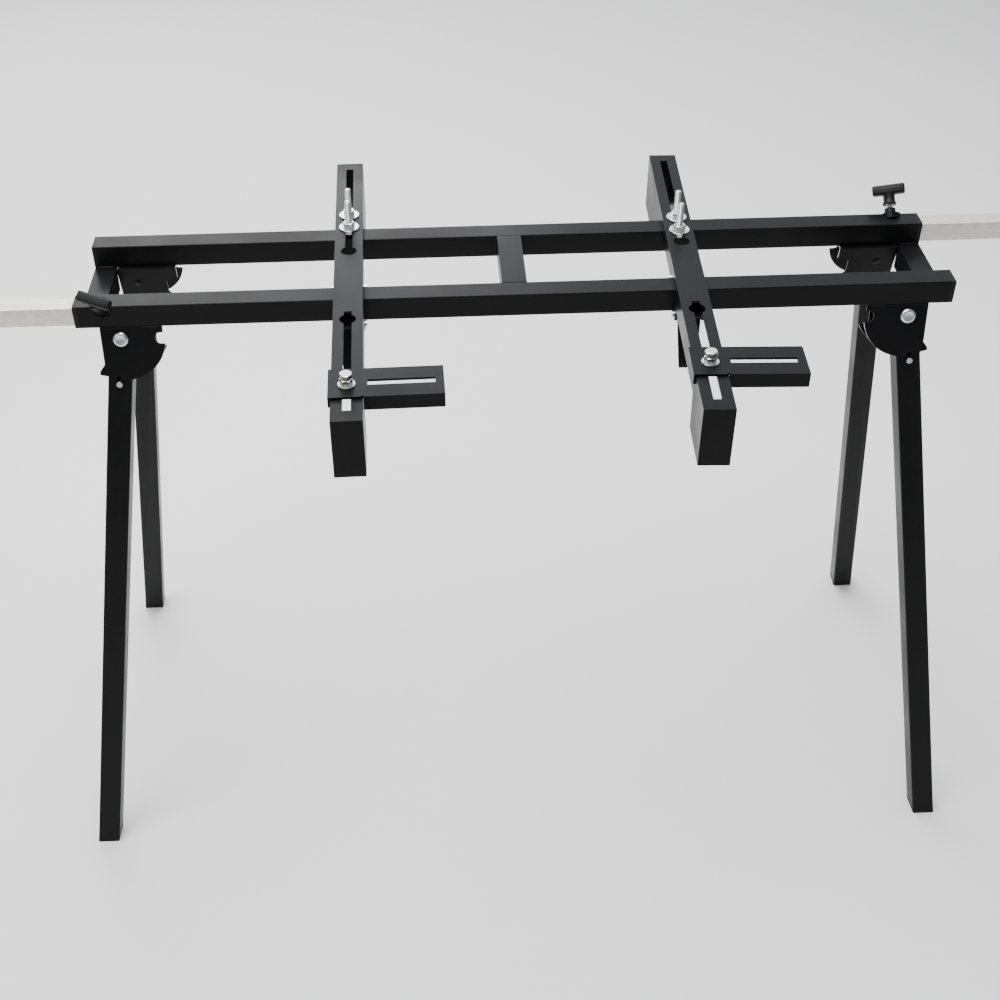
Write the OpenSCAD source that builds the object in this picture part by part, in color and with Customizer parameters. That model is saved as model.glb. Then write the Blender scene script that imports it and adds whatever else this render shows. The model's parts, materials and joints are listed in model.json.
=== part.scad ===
// Folding universal mitre-saw stand: two rails on four splayed folding legs, with two slotted cross
// arms for the saw and an extension tube with a work roller at each end.
// +Z is up, X runs along the rails, the front rail is on the -Y side, and the origin is on the floor
// under the middle of the frame.

/* [Rails] */
// Overall length of each rail with its end caps
rail_length = 1080; // [1080:5:1120]
// Outer width of the square rail tube
rail_size = 30; // [29.8:0.1:30.4]
// Wall thickness of the rail tube
rail_wall = 1.75; // [1.6:0.05:1.85]
// Distance between the two rail centre lines
rail_pitch = 147; // [144:1:155]
// Height of the rails' top face above the floor
rail_top = 802; // [780:1:840]
// Width of the centre crosspiece
crosspiece_width = 31; // [25:1:35]
// Width of each end bar, an angle section
end_bar_width = 28; // [22:1:28]

/* [Legs] */
// Distance of each leg pivot from the middle of the stand
pivot_x = 486.5; // [470:0.5:487]
// How far each leg leans outward, front or back
lean = 13; // [12:0.5:14]
// How far each leg splays toward its own end
splay = 8.3; // [7:0.1:9]
// Outer width of the square leg tube
leg_size = 30; // [28:0.5:30]
// Wall thickness of the leg tube
leg_wall = 1.5; // [1.2:0.1:2]

/* [Extensions] */
// Outer width of the square extension tube
extension_size = 25; // [24:0.1:25.2]
// Length of each extension tube
extension_length = 880; // [700:10:900]
// Distance from the middle of the stand to each upright
upright_x = 720; // [700:5:760]
// Diameter of the work roller
roller_diameter = 32; // [28:1:38]
// Length of the work roller
roller_length = 180; // [140:5:220]

/* [Saw arms] */
// Width of each cross arm
arm_width = 36; // [35:0.5:38]
// Sheet thickness of the arms
arm_sheet = 3; // [2.5:0.1:3]
// Reach of each arm in front of the middle
arm_front = 354.5; // [345:0.5:360]
// Reach of each arm behind the middle
arm_back = 256; // [250:1:262]
// Position of the left arm along the rails
left_arm_x = -205.5; // [-300:0.5:-120]
// Position of the right arm along the rails
right_arm_x = 216.3; // [120:0.1:300]
// Turn of the left arm about the vertical
left_arm_skew = 1.1; // [-2:0.1:2]
// Turn of the right arm about the vertical
right_arm_skew = -2.3; // [-2.4:0.1:2.4]
// Width of the slots in the arms
slot_width = 9.5; // [9:0.1:10.5]

/* [Hidden] */
$fn = 48;

BLACK = "#1c1d1f";
SATIN = "#26272a";
STEEL = "#c4c6c8";
GALVANISED = "#b9b4a4";
RUBBER = "#141414";

tube_corner = 1.5;            // corner radius of the square tubes
touch = 0.05;                 // radial clearance of a running fit
past = 1;                     // how far a cut runs past a face

// rails
rail_y = rail_pitch / 2;
rail_bottom = rail_top - rail_size;
rail_z = rail_top - rail_size / 2;
rail_bore = rail_size - 2 * rail_wall;
cap_rim = 5;
cap_depth = 15;
end_bar_sheet = 4;
end_bar_deep = 32;            // height of the end bar's upright flange
end_bar_flange = 114;         // length of that flange, which fits between the rails' inner faces

// legs: a leg's own frame has its origin at the pivot, x toward the end, y outward, z up the leg
cheek_sheet = 2.5;
cheek_gap = 0.75;
cheek_face = leg_size / 2 + cheek_gap + cheek_sheet;
pivot_drop = 15;
pivot_y = rail_y + rail_size / 2 - cheek_face * cos(lean) + pivot_drop * sin(lean);
pivot_z = rail_bottom - cheek_face * sin(lean) - pivot_drop * cos(lean);
leg_reach = pivot_z / cos(lean) / cos(splay);
rivet_r = 5;
rivet_head_r = 9.75;
cheek_arc_r = 54;
cheek_inner = -52;            // edge of the plates toward the middle of the stand
fold_notch_x = [-49, -44];    // outer plate, inner plate
fold_notch_r = 7.2;
fold_notch_depth = [0.5, 15];  // the inner plate's fold notch is longer, clear of the catch
cheek_bottom = -54;
catch_r = 3;                  // radius of the lock pin
catch_locked = 52.6;          // distance of the lock pin from the pivot when locked
catch_travel = 7.5;
catch_free = catch_locked + catch_travel;
foot_height = 6;

// extensions
guide_opening = extension_size + 0.3;
rail_knob_x = 505;
screw_r = 4;
corner_seat = rail_size / 2 * sqrt(2) - tube_corner * (sqrt(2) - 1);
nut_height = 6.7;
rail_tip = extension_size / 2 * sqrt(2) - tube_corner * (sqrt(2) - 1) + 0.3;
post_tip = extension_size / 2 + 0.3;
knob_gap = 5.4;               // clear length of screw between its nut and its knob
knob_stem = 14;
knob_bar = 12.5;
upright_size = rail_size;
upright_low = -42;            // heights on the uprights are counted from the rails' top face
upright_high = 68;
post_low = -38;
fork_low = 70;
fork_sheet = 3;
fork_width = 26;
roller_up = 25;
axle_r = 5;
height_knob_up = 48;

// arms: heights are counted from the rails' top face
arm_raise = 8;
arm_top = arm_raise + arm_sheet;
arm_deep = -65;
arm_front_edge = -20;
arm_middle_edge = -12;
arm_back_edge = -14;
notch_near = rail_y - rail_size / 2 - 1.5;
notch_far = rail_y + rail_size / 2 + 2.5;
front_keyhole = -150;
back_keyhole = 11;
keyhole_r = 10;
keyhole_neck = 17;
front_slot_end = -335;
back_slot_end = 238;
lever_pin = [rail_y + rail_size / 2 + 9, -30];
clamp_pin_r = 4;
stop_pin = [rail_y - rail_size / 2 - 6.5, -5];
stop_pin_r = 3.5;
lever_length = 58;
lever_lean = 20;
bracket_sheet = 3;
bracket_depth = 55;
bracket_reach = 108;
bracket_edge = -21;
bracket_y = [-286.8, -264.5]; // left, right
bracket_bolt_shift = -3.5;
saw_bolt_y = [[72, 105], [40, 74]];
bolt_r = 4;
bolt_clear = 4.3;
nut_high = 6.8;

function side(s) = s == 0 ? -1 : 1;
function arm_x(s) = s == 0 ? left_arm_x : right_arm_x;
function arm_skew(s) = s == 0 ? left_arm_skew : right_arm_skew;

// ---- shared shapes ----

module rounded_square(size, r) {
    square([size - 2 * r, size], center = true);
    square([size, size - 2 * r], center = true);
    for (x = [-1, 1], y = [-1, 1]) translate([x, y] * (size / 2 - r)) circle(r);
}

// Square bar along X, from x = from to x = to
module bar_x(from, to, size, r = tube_corner) {
    translate([from, 0, 0]) rotate([90, 0, 90]) linear_extrude(to - from) rounded_square(size, r);
}

// Square bar along Z
module bar_z(from, to, size, r = tube_corner) {
    translate([0, 0, from]) linear_extrude(to - from) rounded_square(size, r);
}

// Cylinder about the Y axis
module rod_y(r, from, to) {
    translate([0, to, 0]) rotate([90, 0, 0]) cylinder(r = r, h = to - from);
}

// Cylinder about the X axis
module rod_x(r, from, to) {
    translate([from, 0, 0]) rotate([0, 90, 0]) cylinder(r = r, h = to - from);
}

module hexagon(across) {
    circle(d = across / cos(30), $fn = 6);
}

// Square-ended slot along Y through a sheet
module slot_y(from, to, width, depth) {
    translate([-width / 2, from, 0]) cube([width, to - from, depth]);
}

// ---- rails ----

module place_rail(s) {
    translate([0, s * rail_y, rail_z]) children();
}

// Direction from the rail's centre out through its top outer corner
module corner_axis(s) {
    place_rail(s) translate([s * rail_knob_x, 0, 0]) rotate([-s * 45, 0, 0]) children();
}

module rail(s) {
    color(BLACK) difference() {
        place_rail(s) bar_x(-rail_length / 2 + cap_rim, rail_length / 2 - cap_rim, rail_size);
        place_rail(s) bar_x(-rail_length / 2, rail_length / 2, rail_bore, 0.5);
        corner_axis(s) cylinder(r = screw_r + 0.2, h = rail_size);
    }
}

module front_rail() { rail(-1); }
module rear_rail() { rail(1); }

module centre_crosspiece() {
    gap = rail_pitch - rail_size;
    color(BLACK) translate([0, -gap / 2, rail_z]) rotate([-90, 0, 0]) linear_extrude(gap) difference() {
        square([crosspiece_width, rail_size], center = true);
        square([crosspiece_width, rail_size] - [1, 1] * 2 * rail_wall, center = true);
    }
}

// Angle section under both rails, with its upright flange hanging between the leg plates
module end_bar(s) {
    inner = rail_length / 2 - end_bar_width;
    color(BLACK) mirror([s < 0 ? 1 : 0, 0, 0]) {
        translate([inner, -rail_y, rail_bottom - end_bar_sheet]) cube([end_bar_width, rail_pitch, end_bar_sheet]);
        translate([inner, -end_bar_flange / 2, rail_bottom - end_bar_deep])
            cube([end_bar_sheet, end_bar_flange, end_bar_deep]);
    }
}

module left_end_bar() { end_bar(-1); }
module right_end_bar() { end_bar(1); }

module end_plug(s) {
    mouth = rail_length / 2 - cap_rim;
    place_rail(s) mirror([s > 0 ? 1 : 0, 0, 0]) {
        bar_x(mouth, mouth + cap_rim, rail_size);
        bar_x(mouth - cap_depth, mouth, rail_bore, 0.5);
    }
}

module rail_end_plugs() {
    color(RUBBER) for (s = [-1, 1]) end_plug(s);
}

module extension_guide(s) {
    mouth = rail_length / 2 - cap_rim;
    place_rail(s) mirror([s < 0 ? 1 : 0, 0, 0]) difference() {
        union() {
            bar_x(mouth, mouth + cap_rim, rail_size);
            bar_x(mouth - cap_depth, mouth, rail_bore, 0.5);
        }
        bar_x(mouth - cap_depth - past, mouth + cap_rim + past, guide_opening);
    }
}

module extension_guides() {
    color(RUBBER) for (s = [-1, 1]) extension_guide(s);
}

// Round weld nut with a hollow fillet, standing on a seat at the given distance along +Z
module weld_nut(seat, skirt) {
    fillet = 5.5;
    rotate_extrude() difference() {
        polygon([[screw_r + touch, seat - skirt], [13, seat - skirt], [13, seat], [7, seat + nut_height],
            [screw_r + touch, seat + nut_height]]);
        translate([7 + fillet, seat + fillet - 1]) circle(fillet);
        translate([7, seat + fillet - 1]) square([8, 8]);
    }
}

module rail_weld_nuts() {
    color(BLACK) for (s = [-1, 1]) difference() {
        corner_axis(s) weld_nut(corner_seat, 8);
        place_rail(s) bar_x(-rail_length / 2, rail_length / 2, rail_size);
    }
}

// ---- T-knobs: axis +Z, origin at the tip of the screw ----

module knob_screw(nut) {
    color(STEEL) cylinder(r = screw_r, h = nut + knob_gap + knob_stem + 2);
}

module t_handle(nut, turn) {
    bar = nut + knob_gap + knob_stem;
    color(SATIN) rotate([0, 0, turn]) difference() {
        union() {
            translate([0, 0, bar - knob_stem]) cylinder(r1 = 8.9, r2 = 7.6, h = 4);
            translate([0, 0, bar - knob_stem + 4]) cylinder(r = 7.6, h = knob_stem - 3);
            translate([0, 0, bar]) linear_extrude(knob_bar) {
                square([37.4, 13], center = true);
                square([41.4, 9], center = true);
                for (x = [-1, 1], y = [-1, 1]) translate([x * 18.7, y * 4.5]) circle(2);
            }
        }
        cylinder(r = screw_r + touch, h = bar + 2.3);
    }
}

module on_rail_screw(s) {
    corner_axis(s) translate([0, 0, rail_tip]) children();
}

module rail_screw(s) {
    on_rail_screw(s) knob_screw(corner_seat + nut_height - rail_tip);
}

module rail_knob(s) {
    on_rail_screw(s) t_handle(corner_seat + nut_height - rail_tip, -20);
}

module left_rail_screw() { rail_screw(-1); }
module right_rail_screw() { rail_screw(1); }
module left_rail_knob() { rail_knob(-1); }
module right_rail_knob() { rail_knob(1); }

// ---- leg plates and legs ----

// Corner frame at a pivot: x toward the stand's end, y outward square to the plates, z up along them
module at_pivot(sx, sy) {
    mirror([sx < 0 ? 1 : 0, 0, 0]) mirror([0, sy < 0 ? 1 : 0, 0])
        translate([pivot_x, pivot_y, pivot_z]) rotate([lean, 0, 0]) children();
}

// Leg frame: the same, turned by the splay so that z runs along the leg
module along_leg(sx, sy) {
    at_pivot(sx, sy) rotate([0, -splay, 0]) children();
}

// Outline in (x, z) of the outer plate, 0, or the inner one, 1: the lock notch is at the bottom, and the
// fold notch at the side reaches down by its depth
module cheek_outline(plate) {
    notch_x = fold_notch_x[plate];
    notch_depth = fold_notch_depth[plate];
    difference() {
        union() {
            polygon([[cheek_inner, 0], [cheek_inner, 40], [25, 40], [24, -33],
                [20.5, cheek_bottom], [-10, cheek_bottom], [-10, 0]]);
            intersection() {
                circle(cheek_arc_r, $fn = 96);
                translate([-60, cheek_bottom]) square([60, -cheek_bottom]);
            }
        }
        circle(rivet_r);
        for (z = [0, -notch_depth]) translate([notch_x, z]) circle(fold_notch_r);
        translate([notch_x - 20, -notch_depth - fold_notch_r]) square([20, 2 * fold_notch_r + notch_depth]);
        translate([notch_x, -notch_depth]) square([fold_notch_r, notch_depth]);
        rotate(splay) {
            translate([0, -catch_locked]) circle(catch_r + 0.3);
            translate([-catch_r - 0.3, -catch_locked - 20]) square([2 * catch_r + 0.6, 20]);
        }
    }
}

module cheek(sx, sy, plate) {
    from = plate == 0 ? cheek_face - cheek_sheet : -cheek_face;
    difference() {
        at_pivot(sx, sy) translate([0, from + cheek_sheet, 0]) rotate([90, 0, 0])
            linear_extrude(cheek_sheet) cheek_outline(plate);
        translate([0, 0, rail_bottom + 50]) cube([2 * rail_length, 2 * rail_pitch, 100], center = true);
    }
}

// Two cheek plates with the leg between them. The inner one has a flange along its top edge,
// welded under the rail.
module leg_bracket(sx, sy) {
    flange_from = pivot_y - cheek_face * cos(lean) - 4;
    flange_to = rail_y - 9.5;
    color(BLACK) {
        for (plate = [0, 1]) cheek(sx, sy, plate);
        mirror([sx < 0 ? 1 : 0, 0, 0]) mirror([0, sy < 0 ? 1 : 0, 0])
            translate([pivot_x + cheek_inner + 1, flange_from, rail_bottom - cheek_sheet])
                cube([23 - cheek_inner, flange_to - flange_from, cheek_sheet]);
    }
}

module front_left_bracket() { leg_bracket(-1, -1); }
module front_right_bracket() { leg_bracket(1, -1); }
module rear_left_bracket() { leg_bracket(-1, 1); }
module rear_right_bracket() { leg_bracket(1, 1); }

// Half outline of a domed head of radius r and height h, standing on z = 0
module dome_outline(r, h) {
    ball = (r * r + h * h) / (2 * h);
    intersection() {
        translate([0, h - ball]) circle(ball, $fn = 96);
        square([r, h]);
    }
}

module pivot_rivets() {
    color(STEEL) for (sx = [-1, 1], sy = [-1, 1]) at_pivot(sx, sy) {
        rod_y(rivet_r, -cheek_face - 0.8, cheek_face);
        translate([0, cheek_face, 0]) rotate([-90, 0, 0]) cylinder(r = rivet_head_r, h = 1);
        translate([0, cheek_face + 1, 0]) rotate([-90, 0, 0]) rotate_extrude() dome_outline(8.6, 3.4);
    }
}

module leg(sx, sy) {
    inside = leg_size - 2 * leg_wall;
    color(BLACK) intersection() {
        along_leg(sx, sy) {
            difference() {
                union() {
                    translate([0, 0, -leg_reach - 20]) bar_z(0, leg_reach + 20, leg_size);
                    rod_y(leg_size / 2, -leg_size / 2, leg_size / 2);
                }
                translate([-inside / 2, -inside / 2, -leg_reach - 30]) cube([inside, inside, leg_reach + 30]);
                translate([-leg_size, -inside / 2, 0]) cube([2 * leg_size, inside, leg_size]);
                rod_y(rivet_r + touch, -leg_size, leg_size);
                for (z = [-catch_locked, -catch_free])
                    translate([0, 0, z]) rod_y(catch_r + 0.25, -leg_size, leg_size);
                translate([-catch_r - 0.25, -leg_size, -catch_free])
                    cube([2 * catch_r + 0.5, 2 * leg_size, catch_travel]);
                translate([0, -2, -53.5]) cube([leg_size, 4, 28]);
            }
            difference() {
                rod_y(rivet_r + 2, -inside / 2, inside / 2);
                rod_y(rivet_r + touch, -leg_size, leg_size);
            }
        }
        translate([0, 0, foot_height + 500]) cube([2 * rail_length, 2 * rail_length, 1000], center = true);
    }
}

module front_left_leg() { leg(-1, -1); }
module front_right_leg() { leg(1, -1); }
module rear_left_leg() { leg(-1, 1); }
module rear_right_leg() { leg(1, 1); }

module foot(sx, sy) {
    plug = leg_size - 2 * leg_wall - 0.2;
    color(RUBBER) intersection() {
        union() {
            intersection() {
                along_leg(sx, sy) translate([0, 0, -leg_reach - 20]) bar_z(0, 60, leg_size);
                translate([0, 0, foot_height / 2])
                    cube([2 * rail_length, 2 * rail_length, foot_height], center = true);
            }
            along_leg(sx, sy) translate([0, 0, -leg_reach - 20]) bar_z(0, 45, plug, 0.5);
        }
        translate([0, 0, 500]) cube([2 * rail_length, 2 * rail_length, 1000], center = true);
    }
}

module front_left_foot() { foot(-1, -1); }
module front_right_foot() { foot(1, -1); }
module rear_left_foot() { foot(-1, 1); }
module rear_right_foot() { foot(1, 1); }

// Lock catch: a plate inside the leg with the cross pin, and a finger tab outside the leg's outer face
module catch(sx, sy) {
    face = leg_size / 2;
    neck_low = -51.5;
    tab_low = -56;
    tab_out = face + 11.5;
    color(STEEL) along_leg(sx, sy) {
        translate([0, 0, -catch_free]) rod_y(catch_r, -cheek_face - 1, cheek_face + 0.4);
        translate([0, 0, -catch_free]) rod_y(catch_r + 0.7, cheek_face + 0.4, cheek_face + 2);
    }
    color(BLACK) along_leg(sx, sy) {
        translate([0, 1.5, 0]) rotate([90, 0, 0]) linear_extrude(3) polygon([[-6, -66], [-6, -55], [9, -36],
            [face + 1, -36], [face + 1, neck_low], [6, neck_low], [6, -66]]);
        translate([0, 7, 0]) rotate([90, 0, 0]) linear_extrude(14)
            polygon([[face + 0.4, -31], [tab_out, tab_low + 5], [tab_out, tab_low + 1], [face + 0.4, tab_low]]);
    }
}

module front_left_catch() { catch(-1, -1); }
module front_right_catch() { catch(1, -1); }
module rear_left_catch() { catch(-1, 1); }
module rear_right_catch() { catch(1, 1); }

// ---- extensions: the left one slides in the front rail, the right one in the rear rail ----

module at_upright(s) {
    translate([s * upright_x, s * rail_y, rail_top]) mirror([s < 0 ? 1 : 0, 0, 0]) children();
}

module extension_tube(s) {
    outer = upright_x - upright_size / 2;
    bore = extension_size - 3;
    color(GALVANISED) place_rail(s) mirror([s < 0 ? 1 : 0, 0, 0]) difference() {
        bar_x(outer - extension_length, outer, extension_size);
        bar_x(outer - extension_length - past, outer + past, bore, 0.5);
    }
}

module left_extension_tube() { extension_tube(-1); }
module right_extension_tube() { extension_tube(1); }

module upright(s) {
    bore = upright_size - 2 * rail_wall;
    color(BLACK) at_upright(s) {
        difference() {
            bar_z(upright_low, upright_high, upright_size);
            bar_z(upright_low + 3, upright_high + past, bore, 0.5);
            translate([0, 0, height_knob_up]) rod_x(screw_r + 0.2, 0, upright_size);
        }
        translate([0, 0, height_knob_up]) rotate([0, 90, 0]) difference() {
            weld_nut(upright_size / 2, 0);
            cylinder(r = screw_r + touch, h = 60);
        }
    }
}

module left_upright() { upright(-1); }
module right_upright() { upright(1); }

module on_height_screw(s) {
    at_upright(s) translate([post_tip, 0, height_knob_up]) rotate([0, 90, 0]) children();
}

module height_screw(s) {
    on_height_screw(s) knob_screw(upright_size / 2 + nut_height - post_tip);
}

module height_knob(s) {
    on_height_screw(s) t_handle(upright_size / 2 + nut_height - post_tip, 0);
}

module left_height_screw() { height_screw(-1); }
module right_height_screw() { height_screw(1); }
module left_height_knob() { height_knob(-1); }
module right_height_knob() { height_knob(1); }

module roller_post(s) {
    color(GALVANISED) at_upright(s) difference() {
        bar_z(post_low, fork_low, extension_size);
        bar_z(post_low - past, fork_low + past, extension_size - 3, 0.5);
    }
}

module left_roller_post() { roller_post(-1); }
module right_roller_post() { roller_post(1); }

module roller_fork(s) {
    half = roller_length / 2 + 4;
    color(BLACK) at_upright(s) difference() {
        union() {
            translate([-fork_width / 2, -half, fork_low]) cube([fork_width, 2 * half, fork_sheet]);
            for (y = [-half, half - fork_sheet]) {
                translate([-fork_width / 2, y, fork_low]) cube([fork_width, fork_sheet, roller_up]);
                translate([0, y, fork_low + roller_up]) rod_y(fork_width / 2, 0, fork_sheet);
            }
        }
        translate([0, 0, fork_low + roller_up]) rod_y(axle_r, -half - past, half + past);
    }
}

module left_roller_fork() { roller_fork(-1); }
module right_roller_fork() { roller_fork(1); }

module roller(s) {
    half = roller_length / 2;
    cap = 6;
    color(STEEL) at_upright(s) translate([0, 0, fork_low + roller_up]) difference() {
        rod_y(roller_diameter / 2, -half, half);
        rod_y(roller_diameter / 2 - 2, -half + cap, half - cap);
        rod_y(axle_r + touch, -half - past, half + past);
    }
}

module left_roller() { roller(-1); }
module right_roller() { roller(1); }

module roller_axle(s) {
    half = roller_length / 2 + 4;
    color(STEEL) at_upright(s) translate([0, 0, fork_low + roller_up]) {
        rod_y(axle_r, -half, half);
        for (m = [0, 1]) mirror([0, m, 0]) translate([0, half, 0]) rotate([-90, 0, 0])
            rotate_extrude() dome_outline(8, 3);
    }
}

module left_roller_axle() { roller_axle(-1); }
module right_roller_axle() { roller_axle(1); }

// ---- saw arms ----

// Arm frame: origin on the arm's centre line at the rails' top face, y along the arm
module on_arm(s) {
    translate([arm_x(s), 0, rail_top]) rotate([0, 0, arm_skew(s)]) children();
}

// Side wall in (y, z): deep closed ends, notches that sit on the rails, and an ear for the lever's pin
module arm_wall_outline() {
    difference() {
        union() {
            polygon([
                [-arm_front, arm_raise], [-arm_front, arm_deep], [-arm_front + 72, arm_deep],
                [-arm_front + 77, arm_front_edge], [-notch_far, arm_front_edge], [-notch_far, 0],
                [-notch_near, 0], [-notch_near, arm_middle_edge], [notch_near, arm_middle_edge],
                [notch_near, 0], [notch_far, 0], [notch_far, arm_back_edge], [notch_far + 19, arm_back_edge],
                [notch_far + 59, arm_deep], [arm_back, arm_deep], [arm_back, arm_raise]
            ]);
            translate([-lever_pin[0], lever_pin[1]]) circle(7.5);
            translate([-lever_pin[0] - 7.5, lever_pin[1]]) square([15, arm_front_edge - lever_pin[1]]);
        }
        translate([-lever_pin[0], lever_pin[1]]) circle(clamp_pin_r);
        translate([-stop_pin[0], stop_pin[1]]) circle(stop_pin_r);
    }
}

module arm(s) {
    half = arm_width / 2;
    color(BLACK) on_arm(s) {
        for (x = [-half, half - arm_sheet]) translate([x, 0, 0]) rotate([90, 0, 90])
            linear_extrude(arm_sheet) arm_wall_outline();
        for (y = [-arm_front, arm_back - arm_sheet])
            translate([-half, y, arm_deep]) cube([arm_width, arm_sheet, arm_top - arm_deep]);
        difference() {
            translate([-half, -arm_front, arm_raise]) cube([arm_width, arm_front + arm_back, arm_sheet]);
            translate([0, 0, arm_raise - past]) {
                slot_y(front_slot_end, front_keyhole + keyhole_neck, slot_width, 10);
                slot_y(back_keyhole, back_slot_end, slot_width, 10);
                for (y = [front_keyhole, back_keyhole]) translate([0, y, 0]) cylinder(r = keyhole_r, h = 10);
            }
        }
    }
}

module left_arm() { arm(0); }
module right_arm() { arm(1); }

module clamp_pins(s) {
    half = arm_width / 2;
    color(SATIN) on_arm(s) {
        translate([0, -lever_pin[0], lever_pin[1]]) {
            rod_x(clamp_pin_r, -half, half);
            for (m = [0, 1]) mirror([m, 0, 0]) translate([half, 0, 0]) rod_x(clamp_pin_r + 1, 0, 3);
        }
        translate([0, -stop_pin[0], stop_pin[1]]) rod_x(stop_pin_r, -half - 4.5, half + 4.5);
    }
}

module left_clamp_pins() { clamp_pins(0); }
module right_clamp_pins() { clamp_pins(1); }

// Cam lever: an off-centre barrel on the pin, and a tapered handle that hangs down and outward
module clamp_lever(s) {
    half = arm_width / 2 - arm_sheet - 0.5;
    barrel = 6.8;
    cam_shift = 1.3;
    handle = 3;
    tip_half = 11;
    color(BLACK) on_arm(s) translate([0, -lever_pin[0], lever_pin[1]]) difference() {
        union() {
            translate([0, cam_shift, 0]) rod_x(barrel, -half, half);
            rotate([-lever_lean, 0, 0]) {
                translate([0, handle / 2, 0]) rotate([90, 0, 0]) linear_extrude(handle)
                    polygon([[-half, 0], [half, 0], [tip_half, -lever_length], [-tip_half, -lever_length]]);
                translate([-tip_half, 0, -lever_length]) rotate([-35, 0, 0])
                    translate([0, -handle / 2, -9]) cube([2 * tip_half, handle, 10]);
            }
        }
        rod_x(clamp_pin_r + touch, -arm_width, arm_width);
    }
}

module left_clamp_lever() { clamp_lever(0); }
module right_clamp_lever() { clamp_lever(1); }

// Angle bracket: a cap over the arm with a short flange, and a slotted plate with a folded front edge
module angle_bracket(s) {
    low = arm_top;
    half = arm_width / 2;
    color(BLACK) on_arm(s) translate([0, bracket_y[s], 0]) {
        difference() {
            translate([bracket_edge, -bracket_depth / 2, low])
                cube([bracket_reach - bracket_edge, bracket_depth, bracket_sheet]);
            translate([0, bracket_bolt_shift, low - past]) cylinder(r = bolt_clear, h = 10);
            translate([98, 0, low - past]) rotate([0, 0, 90]) slot_y(0, 75, 10, 10);
            translate([half - 0.5, -bracket_depth / 2, low - past]) cylinder(r = 2, h = 10);
        }
        translate([bracket_edge, -bracket_depth / 2, low - 10])
            cube([-half - 0.3 - bracket_edge, bracket_depth, 10]);
        translate([half + 0.4, -bracket_depth / 2, low - 15])
            cube([bracket_reach - half - 0.4, bracket_sheet, 15]);
    }
}

module left_angle_bracket() { angle_bracket(0); }
module right_angle_bracket() { angle_bracket(1); }

// Ring about the Z axis, from z = from, of a round or hexagonal outline given as its child
module ring_on_bolt(from, height) {
    translate([0, 0, from]) linear_extrude(height) difference() {
        children();
        circle(bolt_r);
    }
}

module bracket_bolt(s) {
    seat = arm_top + bracket_sheet + 0.05;
    washer_top = seat + 1.6;
    head_from = washer_top + nut_high + 1.6;
    color(STEEL) on_arm(s) translate([0, bracket_y[s] + bracket_bolt_shift, 0]) {
        translate([0, 0, arm_raise - nut_high - 3]) cylinder(r = bolt_r, h = head_from - arm_raise + nut_high + 3);
        translate([0, 0, head_from]) linear_extrude(5.3) hexagon(13);
        ring_on_bolt(washer_top, nut_high) hexagon(13);
        ring_on_bolt(seat, 1.6) circle(10);
        ring_on_bolt(arm_raise - 0.1 - nut_high, nut_high) hexagon(13);
    }
}

module left_bracket_bolt() { bracket_bolt(0); }
module right_bracket_bolt() { bracket_bolt(1); }

// Bolt with its head under the arm's top sheet, and a washer and nut above it
module saw_bolt(s, i) {
    head = 4.5;
    seat = arm_top + 0.05;
    color(STEEL) on_arm(s) translate([0, saw_bolt_y[s][i], 0]) {
        translate([0, 0, arm_raise - 0.1 - head]) linear_extrude(head) hexagon(13);
        translate([0, 0, arm_raise - 0.1]) cylinder(r = bolt_r, h = arm_top + 38 - arm_raise + 0.1);
        ring_on_bolt(seat, 1.6) circle(13);
        ring_on_bolt(seat + 1.6, nut_high) hexagon(13);
    }
}

module left_inner_saw_bolt() { saw_bolt(0, 0); }
module left_outer_saw_bolt() { saw_bolt(0, 1); }
module right_inner_saw_bolt() { saw_bolt(1, 0); }
module right_outer_saw_bolt() { saw_bolt(1, 1); }

front_rail();
rear_rail();
centre_crosspiece();
left_end_bar();
right_end_bar();
rail_end_plugs();
extension_guides();
rail_weld_nuts();
pivot_rivets();
front_left_bracket();
front_right_bracket();
rear_left_bracket();
rear_right_bracket();
front_left_leg();
front_right_leg();
rear_left_leg();
rear_right_leg();
front_left_foot();
front_right_foot();
rear_left_foot();
rear_right_foot();
front_left_catch();
front_right_catch();
rear_left_catch();
rear_right_catch();
left_extension_tube();
right_extension_tube();
left_upright();
right_upright();
left_rail_screw();
right_rail_screw();
left_height_screw();
right_height_screw();
left_rail_knob();
right_rail_knob();
left_height_knob();
right_height_knob();
left_roller_post();
right_roller_post();
left_roller_fork();
right_roller_fork();
left_roller();
right_roller();
left_roller_axle();
right_roller_axle();
left_arm();
right_arm();
left_clamp_lever();
right_clamp_lever();
left_clamp_pins();
right_clamp_pins();
left_angle_bracket();
right_angle_bracket();
left_bracket_bolt();
right_bracket_bolt();
left_inner_saw_bolt();
left_outer_saw_bolt();
right_inner_saw_bolt();
right_outer_saw_bolt();
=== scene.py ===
import json
import math

import bmesh
import bpy
from mathutils import Matrix, Vector


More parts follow.
